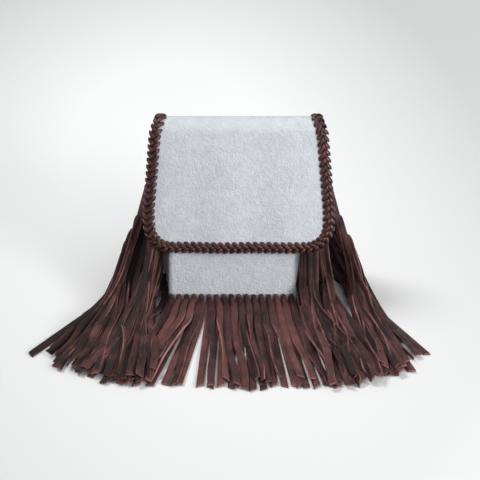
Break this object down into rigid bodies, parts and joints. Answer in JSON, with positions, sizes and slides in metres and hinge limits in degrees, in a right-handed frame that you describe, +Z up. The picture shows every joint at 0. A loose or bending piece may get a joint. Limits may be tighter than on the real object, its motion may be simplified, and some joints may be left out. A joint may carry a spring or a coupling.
{
  "type": "bag",
  "caption": "Small suede bag with a fold-over flap, braided leather lacing round the flap's edge, and long leather fringe along the front and down both sides.",
  "frame": {"origin": "middle of the base, on the surface the bag stands on", "axes": "+Z up, front towards -Y, +X to the right seen from the front; the fringe spreads along X"},
  "size_m": [0.3246, 0.1876, 0.156],
  "materials": {
    "pale_suede": "pale cool grey suede with a short nap",
    "lace_leather": "dark red-brown smooth leather lace",
    "fringe_suede": "dark red-brown leather strips, matt, with paler cut edges",
    "snap_metal": "satin pale brass"
  },
  "bodies": {
    "bag": {"front_panel": "pale_suede", "back_panel": "pale_suede", "gusset": "pale_suede", "back_lacing_left": "lace_leather", "back_lacing_right": "lace_leather", "front_fringe_01": "fringe_suede", "front_fringe_02": "fringe_suede", "front_fringe_03": "fringe_suede", "front_fringe_04": "fringe_suede", "front_fringe_05": "fringe_suede", "front_fringe_06": "fringe_suede", "front_fringe_07": "fringe_suede", "front_fringe_08": "fringe_suede", "front_fringe_09": "fringe_suede", "front_fringe_10": "fringe_suede", "front_fringe_11": "fringe_suede", "front_fringe_12": "fringe_suede", "front_fringe_13": "fringe_suede", "front_fringe_14": "fringe_suede", "front_fringe_15": "fringe_suede", "front_fringe_16": "fringe_suede", "front_fringe_17": "fringe_suede", "front_fringe_18": "fringe_suede", "front_fringe_19": "fringe_suede", "left_fringe_01": "fringe_suede", "left_fringe_02": "fringe_suede", "left_fringe_03": "fringe_suede", "left_fringe_04": "fringe_suede", "left_fringe_05": "fringe_suede", "left_fringe_06": "fringe_suede", "left_fringe_07": "fringe_suede", "left_fringe_08": "fringe_suede", "left_fringe_09": "fringe_suede", "left_fringe_10": "fringe_suede", "left_fringe_11": "fringe_suede", "left_fringe_12": "fringe_suede", "left_fringe_13": "fringe_suede", "left_fringe_14": "fringe_suede", "left_fringe_15": "fringe_suede", "right_fringe_01": "fringe_suede", "right_fringe_02": "fringe_suede", "right_fringe_03": "fringe_suede", "right_fringe_04": "fringe_suede", "right_fringe_05": "fringe_suede", "right_fringe_06": "fringe_suede", "right_fringe_07": "fringe_suede", "right_fringe_08": "fringe_suede", "right_fringe_09": "fringe_suede", "right_fringe_10": "fringe_suede", "right_fringe_11": "fringe_suede", "right_fringe_12": "fringe_suede", "right_fringe_13": "fringe_suede", "right_fringe_14": "fringe_suede", "right_fringe_15": "fringe_suede", "snap_socket": "snap_metal", "snap_socket_backing": "snap_metal"},
    "flap": {"flap": "pale_suede", "flap_lacing": "lace_leather", "snap_stud": "snap_metal", "snap_stud_patch": "pale_suede"}
  },
  "joints": [
    {"name": "flap_hinge", "type": "hinge", "parent": "bag", "child": "flap", "pos_m": [0, 0.0326, 0.1414], "axis": [-1, 0, 0], "range_deg": [0, 150]}
  ]
}
